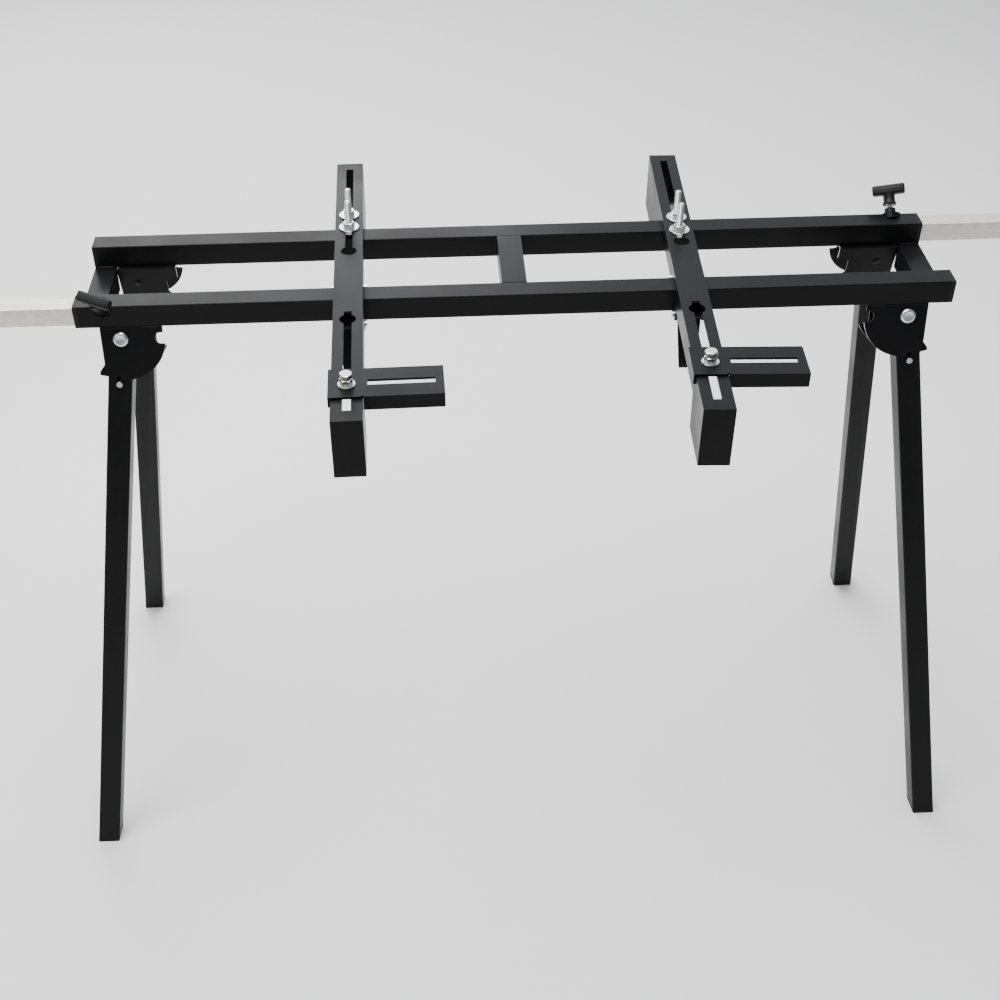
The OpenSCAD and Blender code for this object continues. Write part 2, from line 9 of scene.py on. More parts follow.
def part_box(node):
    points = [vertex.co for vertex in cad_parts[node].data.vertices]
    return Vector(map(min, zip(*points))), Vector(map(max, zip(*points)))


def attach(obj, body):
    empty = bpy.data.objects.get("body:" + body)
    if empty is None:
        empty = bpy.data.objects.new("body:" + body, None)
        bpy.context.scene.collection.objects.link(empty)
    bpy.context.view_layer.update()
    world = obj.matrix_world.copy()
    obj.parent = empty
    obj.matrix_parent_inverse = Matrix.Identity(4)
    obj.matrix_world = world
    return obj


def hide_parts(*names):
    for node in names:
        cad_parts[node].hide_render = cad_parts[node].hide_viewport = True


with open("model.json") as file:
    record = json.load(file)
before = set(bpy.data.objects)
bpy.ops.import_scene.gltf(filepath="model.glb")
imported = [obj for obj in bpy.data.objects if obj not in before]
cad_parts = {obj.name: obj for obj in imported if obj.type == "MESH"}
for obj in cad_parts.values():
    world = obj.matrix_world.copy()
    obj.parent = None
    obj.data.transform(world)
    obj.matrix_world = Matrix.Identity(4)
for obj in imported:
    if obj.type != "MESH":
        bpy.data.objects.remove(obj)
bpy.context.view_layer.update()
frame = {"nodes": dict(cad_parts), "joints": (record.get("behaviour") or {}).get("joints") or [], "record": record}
body_of_node = {n: b for b, nodes in frame["record"]["behaviour"]["bodies"].items() for n in nodes}
joints = {j["name"]: j for j in frame["joints"]}

MM = 0.001
SIDES = (("left", -1), ("right", 1))
CORNERS = [(f"{fr}_{si}", sx, sy) for fr, sy in (("front", -1), ("rear", 1)) for si, sx in SIDES]
RAIL_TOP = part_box("front_rail")[1].z
RAIL_Y = (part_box("rear_rail")[0].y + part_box("rear_rail")[1].y) / 2
LEAN, SPLAY = math.radians(13), math.radians(8.3)
RAIL_HALF = 15 * MM
CHEEK_FACE = 18.25 * MM

# An arm and the angle bracket's plate on it, in the arm's own frame
ARM_HALF, ARM_TOP = 18 * MM, 11 * MM
ARM_FRONT, ARM_BACK = -354.5 * MM, 256 * MM
PLATE_HALF, PLATE_TOP = 21 * MM, 14 * MM

# M8 fasteners
SHANK_R, NUT_ACROSS = 4 * MM, 13 * MM
WASHER_THICK, NUT_HIGH = 1.6 * MM, 6.75 * MM


# ---- camera ----

def make_camera():
    """A camera in front of the stand and well above it, looking down at the rails."""
    yaw, pitch, roll = (math.radians(a) for a in (1.09, 38.81, 1.13))
    eye = Vector((-0.1061, -1.6001, RAIL_TOP + 0.9164))
    ahead = Vector((math.sin(yaw) * math.cos(pitch), math.cos(yaw) * math.cos(pitch), -math.sin(pitch)))
    level = Vector((math.cos(yaw), -math.sin(yaw), 0))
    down = ahead.cross(level)
    right = math.cos(roll) * level + math.sin(roll) * down
    down = -math.sin(roll) * level + math.cos(roll) * down
    data = bpy.data.cameras.new("camera")
    data.sensor_width, data.lens = 36, 51.85
    data.shift_x, data.shift_y = 0.0436, -0.0116
    data.clip_start, data.clip_end = 0.05, 50
    cam = bpy.data.objects.new("camera", data)
    bpy.context.scene.collection.objects.link(cam)
    turn = Matrix((right, -down, -ahead)).transposed().to_4x4()
    cam.matrix_world = Matrix.Translation(eye) @ turn
    bpy.context.scene.camera = cam


make_camera()


# ---- materials ----

class Nodes:
    """A small helper for building a procedural material."""

    def __init__(self, name):
        self.material = bpy.data.materials.new(name)
        self.material.use_nodes = True
        self.tree = self.material.node_tree
        self.tree.nodes.clear()
        self.out = self.add("ShaderNodeOutputMaterial")
        self.shader = self.add("ShaderNodeBsdfPrincipled")
        self.link(self.shader, "BSDF", self.out, "Surface")
        self.coords = self.add("ShaderNodeTexCoord")

    def add(self, kind, **props):
        n = self.tree.nodes.new(kind)
        for k, v in props.items():
            setattr(n, k, v)
        return n

    def link(self, a, out, b, into):
        self.tree.links.new(a.outputs[out], b.inputs[into])

    def stretched(self, scale):
        """The object's own coordinates, scaled along each axis."""
        m = self.add("ShaderNodeMapping")
        m.inputs["Scale"].default_value = scale
        self.link(self.coords, "Object", m, "Vector")
        return m

    def noise(self, scale, detail=3, rough=0.55, vector=None):
        n = self.add("ShaderNodeTexNoise")
        n.inputs["Scale"].default_value = scale
        n.inputs["Detail"].default_value = detail
        n.inputs["Roughness"].default_value = rough
        if vector:
            self.link(vector, "Vector", n, "Vector")
        else:
            self.link(self.coords, "Object", n, "Vector")
        return n

    def cells(self, scale):
        n = self.add("ShaderNodeTexVoronoi")
        n.inputs["Scale"].default_value = scale
        self.link(self.coords, "Object", n, "Vector")
        return n

    def spread(self, source, low, high, into):
        """Maps a noise to a range of values on one of the shader's inputs."""
        r = self.add("ShaderNodeMapRange")
        for k, v in (("From Min", 0.35), ("From Max", 0.65), ("To Min", low), ("To Max", high)):
            r.inputs[k].default_value = v
        self.link(source, "Fac", r, "Value")
        self.link(r, "Result", self.shader, into)

    def tint(self, source, stops, out="Fac"):
        """Turns a texture's output into a colour between two stops of (position, colour)."""
        ramp = self.add("ShaderNodeValToRGB")
        for element, (position, colour) in zip(ramp.color_ramp.elements, stops):
            element.position = position
            element.color = (*colour, 1)
        self.link(source, out, ramp, "Fac")
        return ramp

    def multiply(self, a, b):
        m = self.add("ShaderNodeMixRGB", blend_type="MULTIPLY")
        m.inputs["Fac"].default_value = 1.0
        self.link(a, "Color", m, "Color1")
        self.link(b, "Color", m, "Color2")
        return m

    def colour(self, node):
        self.link(node, "Color", self.shader, "Base Color")

    def bump(self, layers, depth):
        """layers: (noise, strength) each laid over the last."""
        last = None
        for source, strength in layers:
            b = self.add("ShaderNodeBump")
            b.inputs["Strength"].default_value = strength
            b.inputs["Distance"].default_value = depth
            self.link(source, "Fac", b, "Height")
            if last:
                self.link(last, "Normal", b, "Normal")
            last = b
        self.link(last, "Normal", self.shader, "Normal")

    def set(self, **values):
        for k, v in values.items():
            self.shader.inputs[k.replace("_", " ")].default_value = v


def powder_coat(name, dark, light, rough):
    """Semi-gloss black powder coat: orange peel, a little dust and uneven gloss."""
    m = Nodes(name)
    peel = m.noise(700, 2, 0.5)
    cloud = m.noise(9, 4, 0.6)
    dust = m.noise(260, 6, 0.7)
    base = m.tint(cloud, ((0.3, dark), (0.75, light)))
    speck = m.tint(dust, ((0.35, (0.82, 0.82, 0.82)), (0.72, (1.25, 1.25, 1.28))))
    m.colour(m.multiply(base, speck))
    m.spread(cloud, rough - 0.05, rough + 0.07, "Roughness")
    m.set(Specular_IOR_Level=0.1)
    m.bump([(peel, 0.22), (dust, 0.05)], 0.2 * MM)
    return m.material


def painted_edge_highlight(name):
    """A painted highlight for a sheet edge: a light, streaky, partly metallic colour that stands in for the bright
    line of light along the edge.
    """
    m = Nodes(name)
    streak = m.noise(1, 4, 0.6, m.stretched((260, 260, 900)))
    m.colour(m.tint(streak, ((0.38, (0.10, 0.10, 0.10)), (0.55, (0.5, 0.5, 0.49)))))
    m.spread(streak, 0.5, 0.3, "Roughness")
    m.spread(streak, 0.2, 0.9, "Metallic")
    m.bump([(streak, 0.2)], 0.1 * MM)
    return m.material


def zinc(name, colour, rough):
    """Bright zinc plate: faint yellow and blue patches, drawn marks and fine pits."""
    m = Nodes(name)
    patch = m.noise(120, 3, 0.6)
    fine = m.noise(1500, 3, 0.6)
    warm = tuple(c * k for c, k in zip(colour, (1.04, 1.0, 0.9)))
    cool = tuple(c * k for c, k in zip(colour, (0.9, 0.95, 1.02)))
    m.colour(m.tint(patch, ((0.36, cool), (0.66, warm))))
    m.spread(fine, rough - 0.06, rough + 0.1, "Roughness")
    m.set(Metallic=1.0)
    m.bump([(fine, 0.1)], 0.1 * MM)
    return m.material


def galvanised(name, along):
    """Galvanised tube: soft spangle, drawing lines along its length and a warm cast."""
    m = Nodes(name)
    spangle = m.cells(140)
    lines = m.noise(1, 5, 0.65, m.stretched(along))
    base = m.tint(spangle, ((0.0, (0.60, 0.585, 0.52)), (0.9, (0.74, 0.72, 0.645))), "Distance")
    drawn = m.tint(lines, ((0.3, (0.86, 0.86, 0.85)), (0.7, (1.06, 1.06, 1.05))))
    m.colour(m.multiply(base, drawn))
    m.spread(lines, 0.38, 0.52, "Roughness")
    m.set(Metallic=0.75)
    m.bump([(lines, 0.12)], 0.1 * MM)
    return m.material


def plastic(name, shade, rough, grain=1700, grain_strength=0.3):
    """Moulded black plastic or rubber with an even grain."""
    m = Nodes(name)
    cloud = m.noise(40, 4, 0.6)
    skin = m.noise(grain, 2, 0.5)
    dark, light = (tuple(c * k for c in shade) for k in (0.75, 1.35))
    m.colour(m.tint(cloud, ((0.3, dark), (0.7, light))))
    m.spread(skin, rough - 0.06, rough + 0.08, "Roughness")
    m.set(Specular_IOR_Level=0.16)
    m.bump([(skin, grain_strength)], 0.15 * MM)
    return m.material


COAT = powder_coat("black_powder_coat", (0.0032, 0.0033, 0.0037), (0.0056, 0.0056, 0.0061), 0.36)
WELD = powder_coat("weld_under_coat", (0.0035, 0.0035, 0.004), (0.007, 0.007, 0.0075), 0.42)
# Painted highlight: a light colour laid on sheet edges in place of the light they catch.
EDGE_HIGHLIGHT_PAINT = painted_edge_highlight("painted_edge_highlight")
ZINC = zinc("zinc_plate", (0.74, 0.745, 0.75), 0.24)
SHANK = zinc("zinc_thread", (0.62, 0.62, 0.61), 0.33)
ROLLER = zinc("roller_steel", (0.66, 0.665, 0.67), 0.2)
TUBE = galvanised("galvanised_tube", (14, 900, 900))
POST = galvanised("galvanised_post", (900, 900, 14))
PLASTIC = plastic("knob_plastic", (0.0055, 0.0055, 0.0058), 0.46)
PLUG = plastic("plug_plastic", (0.0065, 0.0065, 0.0065), 0.5, 1200)
RUBBER = plastic("foot_rubber", (0.007, 0.007, 0.007), 0.72, 900, 0.5)


# ---- mesh helpers ----

def round_point(at, radius, angle, z):
    """A point given by its radius, angle and height in the frame `at`."""
    return at @ Vector((radius * math.cos(angle), radius * math.sin(angle), z))


def show(bm, name, body, materials, stands_for=(), sharp=32):
    """Turns a bmesh into a piece that rides on a body. sharp is the least angle of a hard edge."""
    mesh = bpy.data.meshes.new(name)
    bmesh.ops.recalc_face_normals(bm, faces=bm.faces)
    bm.to_mesh(mesh)
    bm.free()
    for m in materials:
        mesh.materials.append(m)
    mesh.polygons.foreach_set("use_smooth", [True] * len(mesh.polygons))
    mesh.set_sharp_from_angle(angle=math.radians(sharp))
    obj = bpy.data.objects.new(name, mesh)
    bpy.context.scene.collection.objects.link(obj)
    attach(obj, body)
    if stands_for:
        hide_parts(*stands_for)
    return obj


def rebuilt(node, materials, small=0.45 * MM, bends=(), bend=2.2 * MM, paint=None):
    """A node's own shape as a clean mesh, with its edges rounded by `small` and its folds by `bend`.

    bends are tests of an edge's two ends that say it is a fold. paint gives a face's material number
    from its centre.
    """
    bm = bmesh.new()
    bm.from_mesh(frame["nodes"][node].data)
    bmesh.ops.remove_doubles(bm, verts=bm.verts, dist=0.002 * MM)
    bmesh.ops.dissolve_limit(bm, angle_limit=math.radians(0.6), verts=bm.verts, edges=bm.edges)
    bm.normal_update()
    weights = bm.edges.layers.float.new("bevel_weight_edge")
    for e in bm.edges:
        if len(e.link_faces) == 2 and e.calc_face_angle(0) > math.radians(35):
            a, b = (v.co for v in e.verts)
            e[weights] = 1.0 if any(t(a, b) for t in bends) else small / bend
    if paint:
        for f in bm.faces:
            f.material_index = paint(f.calc_center_median())
    obj = show(bm, node + "_shape", body_of_node[node], materials, [node])
    rounding = obj.modifiers.new("edge", "BEVEL")
    rounding.width, rounding.segments = bend, 3
    rounding.limit_method = "WEIGHT"
    rounding.use_clamp_overlap = True
    rounding.harden_normals = True


def grid(bm, rows, close=True):
    """Skins a list of rings of points, each ring closed, with a cap on each open end."""
    rings = [[bm.verts.new(p) for p in row] for row in rows]
    n = len(rings[0])
    for a, b in zip(rings, rings[1:]):
        for i in range(n):
            bm.faces.new((a[i], a[(i + 1) % n], b[(i + 1) % n], b[i]))
    if close:
        bm.faces.new(rings[0][::-1])
        bm.faces.new(rings[-1])
    return rings


def lathe(bm, profile, steps=48, at=Matrix.Identity(4), loop=False):
    """Revolves (radius, height) points about the Z axis of `at`. A loop is closed along its profile too."""
    rows = [[round_point(at, r, 2 * math.pi * i / steps, z) for i in range(steps)] for r, z in profile]
    rings = grid(bm, rows, close=not loop)
    if loop:
        for i in range(steps):
            j = (i + 1) % steps
            bm.faces.new((rings[-1][i], rings[-1][j], rings[0][j], rings[0][i]))


def aim(origin, z_axis, x_axis=None):
    """The matrix of a frame whose Z points along z_axis."""
    z = Vector(z_axis).normalized()
    x = Vector(x_axis) if x_axis is not None else z.orthogonal()
    x = (x - z * x.dot(z)).normalized()
    y = z.cross(x)
    return Matrix.Translation(origin) @ Matrix((x, y, z)).transposed().to_4x4()


def thread(bm, z0, z1, at, pitch=1.25 * MM, steps=28):
    """A threaded shank with a pointed lead at its upper end."""
    depth = 0.58 * pitch
    rows = []
    count = int((z1 - z0) / pitch * 6)
    for k in range(count + 1):
        z = z0 + (z1 - z0) * k / count
        lead = max(0.0, 1 - (z1 - z) / (1.2 * MM))
        row = []
        for i in range(steps):
            phase = (z / pitch - i / steps) % 1
            cut = depth * abs(2 * phase - 1)
            radius = min(SHANK_R - cut, SHANK_R - lead * 1.1 * MM)
            row.append(round_point(at, radius, 2 * math.pi * i / steps, z))
        rows.append(row)
    grid(bm, rows)


def hexagon(bm, across, z0, z1, at, hole=0.0, lower=True, upper=True, steps=72):
    """A hexagonal nut or head with its corners turned off at the chamfered ends."""
    flat = across / 2
    ring = flat * 0.96
    edge = 0.5 * MM
    angles = [2 * math.pi * i / steps for i in range(steps)]
    reach = [flat / math.cos((a + math.pi / 6) % (math.pi / 3) - math.pi / 6) for a in angles]

    def flat_row(radius, z):
        return [(radius, z)] * steps

    def end_rows(z, sign, turned):
        """The end face's outline, and the line where its chamfer meets the flats."""
        slope = math.tan(math.radians(30)) if turned else 0
        end = [(ring if turned else r, z) for r in reach]
        return end, [(r, z + sign * (r - ring) * slope) for r in reach]

    low_end, low_side = end_rows(z0, 1, lower)
    high_end, high_side = end_rows(z1, -1, upper)
    rows = [low_end, low_side, high_side, high_end]
    if hole:
        rows = [flat_row(hole + edge, z0)] + rows + [flat_row(hole + edge, z1)]
        rows = [flat_row(hole, z0 + edge)] + rows + [flat_row(hole, z1 - edge)]
    grid(bm, [[round_point(at, r, a, z) for a, (r, z) in zip(angles, row)] for row in rows], close=not hole)


def washer(bm, inner, outer, z0, z1, at):
    e = 0.25 * MM
    under = [(inner, z0 + e), (inner + e, z0), (outer - e, z0), (outer, z0 + e)]
    over = [(outer, z1 - e), (outer - e, z1), (inner + e, z1), (inner, z1 - e)]
    lathe(bm, under + over, 56, at, loop=True)


def bead(bm, path, radius, ripple=1.9 * MM, sides=12):
    """A weld bead: a tube along straight runs of points, rippled like laid metal."""
    points = [Vector(p) for p in path]
    for a, b in zip(points, points[1:]):
        length = (b - a).length
        at = aim(a, b - a)
        count = max(6, int(length / (0.5 * MM)))
        rows = []
        for k in range(count + 1):
            t = k / count
            z = length * t
            wave = 1 + 0.13 * (0.5 - (z / ripple + 0.35 * math.sin(z / (7 * MM))) % 1)
            ends = math.sqrt(max(0.02, 1 - (2 * t - 1) ** 16))
            r = radius * wave * ends
            rows.append([round_point(at, r, 2 * math.pi * i / sides, z) for i in range(sides)])
        grid(bm, rows)


def rounded_box(bm, size, at, radius, segments=3):
    """A box with rounded edges, centred on `at`."""
    part = bmesh.new()
    bmesh.ops.create_cube(part, size=1)
    for v in part.verts:
        v.co = Vector((v.co.x * size[0], v.co.y * size[1], v.co.z * size[2]))
    corners = part.edges[:] + part.verts[:]
    bmesh.ops.bevel(part, geom=corners, offset=radius, segments=segments, profile=0.5, affect="EDGES")
    copies = {v: bm.verts.new(at @ v.co) for v in part.verts}
    for f in part.faces:
        bm.faces.new([copies[v] for v in f.verts])
    part.free()


# ---- rails and the welded frame ----

for rail in ("front_rail", "rear_rail"):
    rebuilt(rail, [COAT], small=0.25 * MM)
for bar in ("centre_crosspiece", "left_end_bar", "right_end_bar"):
    rebuilt(bar, [COAT], small=0.5 * MM)
rebuilt("rail_end_plugs", [PLUG], small=0.5 * MM)
rebuilt("extension_guides", [PLUG], small=0.4 * MM)
rebuilt("rail_weld_nuts", [COAT], small=0.25 * MM)


def corner_frame(corner, sx, sy):
    """The leg's frame at its pivot: Z up the leg, Y outward, X toward the stand's end."""
    upright = math.cos(SPLAY)
    z = Vector((-sx * math.sin(SPLAY), -sy * upright * math.sin(LEAN), upright * math.cos(LEAN)))
    y = Vector((0, sy * math.cos(LEAN), math.sin(LEAN)))
    x = y.cross(z) * (1 if sx * sy > 0 else -1)
    pivot = joints[corner + "_leg_fold"]["pos_m"]
    return Matrix.Translation(pivot) @ Matrix((x, y, z)).transposed().to_4x4()


def make_rivets():
    """Pivot rivets: a coated shank, and a zinc head with a rolled rim and a shallow dish."""
    inner_end = -CHEEK_FACE - 0.75 * MM
    rim = [(9.3, 0.02), (9.75, 0.3), (9.7, 1.4), (9.0, 2.9), (7.9, 3.9), (6.9, 4.3)]
    dish = [(6.2, 4.35), (5.4, 4.15), (4.6, 3.85), (2.4, 3.7), (0.3, 3.65)]
    shank = [(4.3 * MM, inner_end), (4.9 * MM, inner_end + 0.5 * MM), (4.95 * MM, CHEEK_FACE)]
    shanks = bmesh.new()
    for corner, sx, sy in CORNERS:
        at = corner_frame(corner, sx, sy) @ Matrix.Rotation(-math.pi / 2, 4, "X")
        lathe(shanks, shank, 40, at)
        bm = bmesh.new()
        lathe(bm, [(r * MM, CHEEK_FACE + z * MM) for r, z in rim + dish], 56, at)
        show(bm, corner + "_rivet_head", "frame", [ZINC], sharp=50)
    show(shanks, "rivet_shanks", "frame", [COAT], ["pivot_rivets"], sharp=40)


def make_bracket(corner, sx, sy):
    """A leg bracket, with a painted highlight on the curved edges of its plates."""
    back = corner_frame(corner, sx, sy).inverted()

    def paint(p):
        q = back @ p
        # Faces on the plates' curved edges take the painted edge highlight.
        return 1 if math.hypot(q.x, q.z) > 53.6 * MM and q.x < -9 * MM else 0

    rebuilt(corner + "_bracket", [COAT, EDGE_HIGHLIGHT_PAINT], small=0.35 * MM, paint=paint)


make_rivets()
for corner, sx, sy in CORNERS:
    make_bracket(corner, sx, sy)


def weld_frame():
    """The beads that hold the crosspiece, end bars and leg brackets to the rails."""
    bm = bmesh.new()
    inset, short = 0.6 * MM, 3 * MM

    def bead_along_x(x0, x1, y, z, radius):
        bead(bm, [(x0, y, z), (x1, y, z)], radius)

    lo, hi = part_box("centre_crosspiece")
    for y in (lo.y + inset, hi.y - inset):
        for x, s in ((lo.x, -1), (hi.x, 1)):
            bead(bm, [(x + s * inset, y, lo.z + short), (x + s * inset, y, hi.z - short)], 2.1 * MM)
        bead_along_x(lo.x + short, hi.x - short, y, lo.z - 0.4 * MM, 1.9 * MM)
    for node in ("left_end_bar", "right_end_bar"):
        lo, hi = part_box(node)
        for s in (-1, 1):
            y = s * (RAIL_Y - RAIL_HALF - inset)
            bead_along_x(lo.x + short, hi.x - short, y, hi.z + inset, 1.9 * MM)
    for corner, sx, sy in CORNERS:
        lo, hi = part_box(corner + "_bracket")
        inner = min(abs(lo.x), abs(hi.x))
        y = sy * (RAIL_Y + RAIL_HALF - 0.4 * MM)
        for a, b in ((6, 26), (52, 76)):
            bead_along_x(sx * (inner + a * MM), sx * (inner + b * MM), y, hi.z - 0.9 * MM, 1.5 * MM)
    show(bm, "frame_welds", "frame", [WELD], sharp=60)


weld_frame()


# ---- legs, feet and catches ----

def make_catch(corner, sx, sy):
    """A lock catch: a zinc pin across the leg, in a coated finger tab."""
    back = corner_frame(corner, sx, sy).inverted()

    def paint(p):
        q = back @ p
        on_pin = math.hypot(q.x, q.z + 60.1 * MM) < 4.2 * MM and abs(q.y) > 1.4 * MM
        return 0 if on_pin else 1

    rebuilt(corner + "_catch", [ZINC, COAT], small=0.35 * MM, paint=paint)


for corner, sx, sy in CORNERS:
    rebuilt(corner + "_leg", [COAT], small=0.35 * MM)
    rebuilt(corner + "_foot", [RUBBER], small=0.6 * MM)
    make_catch(corner, sx, sy)


# ---- extensions ----

def joint_frame(name, x_axis=None):
    j = joints[name]
    return aim(Vector(j["pos_m"]), j["axis"], x_axis)


def make_screw(node, knob_joint, length):
    """A clamp screw: a threaded shank with a turned-down point."""
    at = joint_frame(knob_joint)
    bm = bmesh.new()
    thread(bm, 1.5 * MM, length, at)
    lathe(bm, [(2.6 * MM, 0), (3.1 * MM, 0.4 * MM), (3.1 * MM, 1.6 * MM)], 28, at)
    show(bm, node + "_thread", body_of_node[node], [SHANK], [node], sharp=28)


def make_handle(node, knob_joint, nut, x_axis):
    """A moulded T-handle: a fluted stem with a collar, and a crowned bar with soft corners."""
    at = joint_frame(knob_joint, x_axis)
    start = nut + 5.4 * MM
    bm = bmesh.new()
    steps, flutes = 60, 10
    collar = [(4.05, 0.6, 0), (5.2, 0, 0), (8.5, 0, 0), (8.9, 0.5, 0), (8.7, 2.2, 0), (8.0, 3.6, 0)]
    stem = [(7.5, 4.4, 0.5), (7.4, 6, 1), (7.4, 11.5, 1), (7.9, 13.2, 0.6), (8.2, 15.2, 0)]
    rows = []
    for r, z, fluting in collar + stem:
        row = []
        for i in range(steps):
            a = 2 * math.pi * i / steps
            radius = r - 0.45 * fluting * (0.5 - 0.5 * math.cos(flutes * a))
            row.append(round_point(at, radius * MM, a, start + z * MM))
        rows.append(row)
    grid(bm, rows)
    bar = at @ Matrix.Translation((0, 0, start + 20.25 * MM))
    rounded_box(bm, (41.4 * MM, 12.6 * MM, 12.5 * MM), bar, 2.6 * MM, 4)
    rounded_box(bm, (36 * MM, 13.0 * MM, 4.2 * MM), bar, 1.2 * MM, 2)
    for side in (-1, 1):
        rib = bar @ Matrix.Translation((side * 15.5 * MM, 0, 0))
        rounded_box(bm, (2.4 * MM, 13.0 * MM, 9.4 * MM), rib, 0.8 * MM, 2)
    show(bm, node + "_moulding", body_of_node[node], [PLASTIC], [node], sharp=38)


def make_roller(node):
    """A steel tube with pressed-in plastic end caps and a bearing ring in each."""
    lo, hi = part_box(node)
    centre, half = (lo + hi) / 2, (hi.y - lo.y) / 2
    r = (hi.z - lo.z) / 2
    at = aim(centre, (0, 1, 0), (1, 0, 0))
    e = 0.7 * MM
    end = half - 1.2 * MM
    corner = [(r - e, end), (r - 0.2 * e, end - 0.3 * e), (r, end - e)]
    near_half = [(r - 2 * MM, -end)] + [(x, -z) for x, z in corner]
    far_half = corner[::-1] + [(r - 2 * MM, end)]
    bm = bmesh.new()
    lathe(bm, near_half + far_half, 72, at)
    show(bm, node + "_tube", body_of_node[node], [ROLLER], [node], sharp=40)
    bearing = [(5.05, -6), (5.05, -0.8), (5.6, 0), (7.2, 0), (7.8, -1.4), (11.2, -1.4), (11.8, -0.2)]
    rim = [(2.6, -0.2), (1.8, -0.9), (1.6, -1.15), (2.1, -6)]
    profile = [(x * MM, half + z * MM) for x, z in bearing] + [(r - x * MM, half + z * MM) for x, z in rim]
    for name, turn in (("near", math.pi), ("far", 0)):
        bm = bmesh.new()
        lathe(bm, profile, 64, at @ Matrix.Rotation(turn, 4, "X"), loop=True)
        show(bm, f"{node}_cap_{name}", body_of_node[node], [PLUG], sharp=34)


# Each clamp screw's joint is at its point. These are the heights of the weld nuts' tops above it.
TUBE_HALF, NUT_TALL, POINT_GAP = 12.5 * MM, 6.7 * MM, 0.3 * MM
RAIL_NUT = (RAIL_HALF - TUBE_HALF) * math.sqrt(2) + NUT_TALL - POINT_GAP
POST_NUT = RAIL_HALF - TUBE_HALF + NUT_TALL - POINT_GAP
SCREW_PAST_NUT = 21.4 * MM
KNOB_TURN = math.radians(-20)

for side, _ in SIDES:
    rebuilt(side + "_extension_tube", [TUBE], small=0.25 * MM)
    rebuilt(side + "_roller_post", [POST], small=0.25 * MM)
    rebuilt(side + "_upright", [COAT], small=0.3 * MM)
    rebuilt(side + "_roller_fork", [COAT], small=0.4 * MM)
    rebuilt(side + "_roller_axle", [ZINC], small=0.2 * MM)
    make_roller(side + "_roller")
    rail_turn, post_turn = side + "_rail_knob_turn", side + "_height_knob_turn"
    make_screw(side + "_rail_screw", rail_turn, RAIL_NUT + SCREW_PAST_NUT)
    make_screw(side + "_height_screw", post_turn, POST_NUT + SCREW_PAST_NUT)
    bar_axis = Matrix.Rotation(KNOB_TURN, 3, Vector(joints[rail_turn]["axis"])) @ Vector((1, 0, 0))
    make_handle(side + "_rail_knob", rail_turn, RAIL_NUT, bar_axis)
    make_handle(side + "_height_knob", post_turn, POST_NUT, (0, 0, 1))


def weld_uprights():
    """The beads round each extension tube where it meets its upright."""
    for side, s in SIDES:
        lo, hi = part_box(side + "_extension_tube")
        x = hi.x if s > 0 else lo.x
        back = -s * 0.5 * MM
        bm = bmesh.new()
        for z in (lo.z, hi.z):
            bead(bm, [(x + back, lo.y + 2 * MM, z), (x + back, hi.y - 2 * MM, z)], 1.8 * MM)
        for y in (lo.y, hi.y):
            bead(bm, [(x + back, y, lo.z + 2 * MM), (x + back, y, hi.z - 2 * MM)], 1.8 * MM)
        show(bm, side + "_upright_weld", side + "_extension", [WELD], sharp=60)


weld_uprights()


# ---- saw arms ----

def arm_frame(side):
    """The arm's own frame: Y along the arm, Z up, origin at the rails' top face."""
    lever = joints[side + "_clamp_lever_turn"]
    up = Vector((0, 0, 1))
    x = Vector(lever["axis"]).normalized()
    y = up.cross(x)
    origin = Vector(lever["pos_m"]) + y * (97.5 * MM)
    origin.z = RAIL_TOP
    return Matrix.Translation(origin) @ Matrix((x, y, up)).transposed().to_4x4()


def bolt_frame(node, turn):
    """An upright bolt's frame, with its origin at the rails' top face."""
    lo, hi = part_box(node)
    middle = (lo + hi) / 2
    return Matrix.Translation((middle.x, middle.y, RAIL_TOP)) @ Matrix.Rotation(turn, 4, "Z")


def show_shank(node, bm, material):
    show(bm, node + "_thread", body_of_node[node], [material], [node], sharp=28)


def make_washer(node, outer, base, at):
    bm = bmesh.new()
    washer(bm, SHANK_R + 0.1 * MM, outer, base, base + WASHER_THICK, at)
    show(bm, node + "_washer", body_of_node[node], [ZINC], sharp=28)


def make_nut(node, part, base, at):
    bm = bmesh.new()
    hexagon(bm, NUT_ACROSS, base, base + NUT_HIGH, at, hole=SHANK_R - 0.5 * MM)
    show(bm, f"{node}_{part}", body_of_node[node], [ZINC], sharp=24)


def make_saw_bolt(node, turn):
    """A hexagon bolt pushed up through a slot, with its washer and nut."""
    at = bolt_frame(node, turn)
    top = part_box(node)[1].z - RAIL_TOP
    seat = ARM_TOP + 0.05 * MM
    bm = bmesh.new()
    hexagon(bm, NUT_ACROSS - 0.2 * MM, 3.4 * MM, 7.85 * MM, at, upper=False)
    thread(bm, 7.8 * MM, top, at)
    show_shank(node, bm, SHANK)
    make_washer(node, 13 * MM, seat, at)
    make_nut(node, "nut", seat + WASHER_THICK, at)


def make_bracket_bolt(node, turn):
    """A hexagon bolt put in from above, with a nut and washer under its head and a nut under the arm."""
    at = bolt_frame(node, turn)
    low, top = (v.z - RAIL_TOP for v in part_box(node))
    seat = PLATE_TOP + 0.05 * MM
    head_from = top - 5.3 * MM
    bm = bmesh.new()
    hexagon(bm, NUT_ACROSS, head_from, top, at, lower=False)
    thread(bm, low, head_from + 0.2 * MM, at)
    show_shank(node, bm, ZINC)
    make_washer(node, 10 * MM, seat, at)
    make_nut(node, "nut", seat + WASHER_THICK, at @ Matrix.Rotation(0.3, 4, "Z"))
    make_nut(node, "lower_nut", ARM_TOP - 3.1 * MM - NUT_HIGH, at @ Matrix.Rotation(0.1, 4, "Z"))


def near(a, b):
    return abs(a - b) < 0.05 * MM


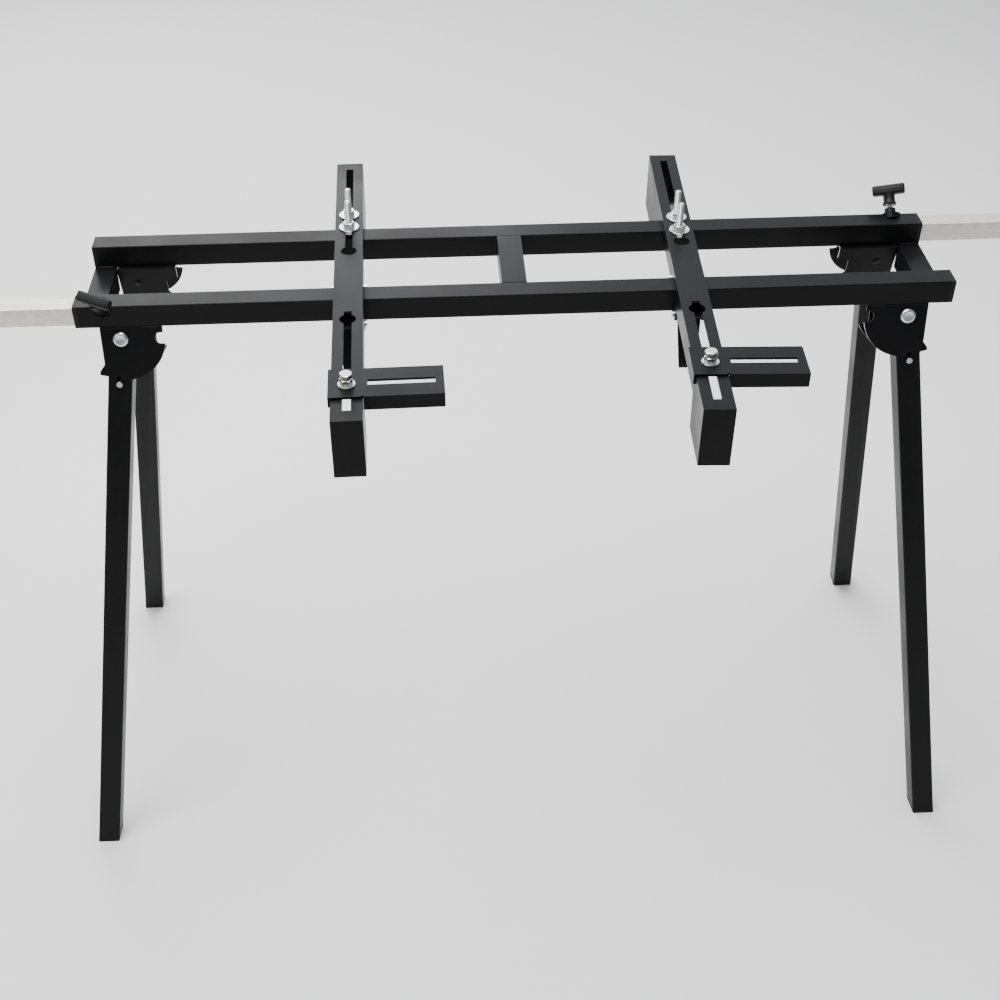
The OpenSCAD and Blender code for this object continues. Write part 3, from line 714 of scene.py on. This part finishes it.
def make_arm(side):
    """A cross arm, with bend radii along its two sides and across its two ends."""
    back = arm_frame(side).inverted()

    def side_fold(a, b):
        return all(near(abs(v.x), ARM_HALF) and near(v.z, ARM_TOP) for v in (back @ a, back @ b))

    def end_fold(a, b):
        ends = (back @ a, back @ b)
        return all(near(v.z, ARM_TOP) and (near(v.y, ARM_FRONT) or near(v.y, ARM_BACK)) for v in ends)

    rebuilt(side + "_arm", [COAT], small=0.4 * MM, bends=(side_fold, end_fold), bend=1.9 * MM)


def make_angle_bracket(side):
    """An angle bracket, with bend radii at its front and side folds and a painted highlight on its rear edge."""
    back = arm_frame(side).inverted()
    lo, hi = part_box(side + "_bracket_bolt")
    rear_edge = (back @ ((lo + hi) / 2)).y + 30.9 * MM

    def front_fold(a, b):
        p, q = back @ a, back @ b
        on_top = near(p.z, PLATE_TOP) and near(q.z, PLATE_TOP)
        return on_top and near(p.y, q.y) and min(p.y, q.y) < -280 * MM

    def side_fold(a, b):
        return all(near(v.z, PLATE_TOP) and near(v.x, -PLATE_HALF) for v in (back @ a, back @ b))

    def paint(p):
        # Faces behind the rear edge take the painted edge highlight.
        return 1 if (back @ p).y > rear_edge else 0

    folds = (front_fold, side_fold)
    rebuilt(side + "_angle_bracket", [COAT, EDGE_HIGHLIGHT_PAINT], small=0.45 * MM, bends=folds, bend=1.8 * MM, paint=paint)


for side, _ in SIDES:
    make_arm(side)
    rebuilt(side + "_clamp_lever", [COAT], small=0.5 * MM)
    rebuilt(side + "_clamp_pins", [ZINC], small=0.4 * MM)
    make_angle_bracket(side)
    make_bracket_bolt(side + "_bracket_bolt", 0.15)
    make_saw_bolt(side + "_inner_saw_bolt", 0.4)
    make_saw_bolt(side + "_outer_saw_bolt", 0.15)


# ---- floor and light ----

def make_floor():
    """A plain pale floor, wide enough to fill the view."""
    bm = bmesh.new()
    bmesh.ops.create_grid(bm, x_segments=24, y_segments=24, size=9)
    mesh = bpy.data.meshes.new("floor")
    bm.to_mesh(mesh)
    bm.free()
    m = Nodes("floor")
    cloud = m.noise(1.3, 3, 0.5)
    m.colour(m.tint(cloud, ((0.2, (0.80, 0.80, 0.80)), (0.8, (0.84, 0.84, 0.84)))))
    m.set(Roughness=0.75)
    mesh.materials.append(m.material)
    floor = bpy.data.objects.new("floor", mesh)
    bpy.context.scene.collection.objects.link(floor)


def make_light(name, at, size, power, colour=(1, 1, 1)):
    """A soft panel that faces the middle of the stand."""
    facing = Vector((0, 0, 0.6)) - Vector(at)
    data = bpy.data.lights.new(name, "AREA")
    data.shape, data.size, data.size_y = "RECTANGLE", *size
    data.energy, data.color = power, colour
    light = bpy.data.objects.new(name, data)
    light.location = at
    light.visible_camera = False
    light.rotation_euler = facing.to_track_quat("-Z", "Y").to_euler()
    bpy.context.scene.collection.objects.link(light)


def make_world():
    """A dim, slightly blue surround that fills the shadows."""
    world = bpy.data.worlds.new("studio")
    bpy.context.scene.world = world
    world.use_nodes = True
    back = world.node_tree.nodes["Background"]
    back.inputs["Color"].default_value = (0.93, 0.95, 1.0, 1)
    back.inputs["Strength"].default_value = 0.35


make_floor()
make_world()
make_light("overhead", (-0.4, 0.2, 3.4), (3.2, 2.4), 250)
make_light("front_left", (-2.6, -2.2, 2.6), (1.8, 1.8), 24, (1.0, 0.98, 0.95))
make_light("rear_wall", (0.2, 3.7, 3.1), (5.0, 1.6), 45, (0.95, 0.97, 1.0))
make_light("rear_strip", (-0.7, 3.4, 2.3), (2.0, 0.5), 38)
make_light("rear_left", (-2.0, 3.2, 1.5), (1.6, 1.0), 32)
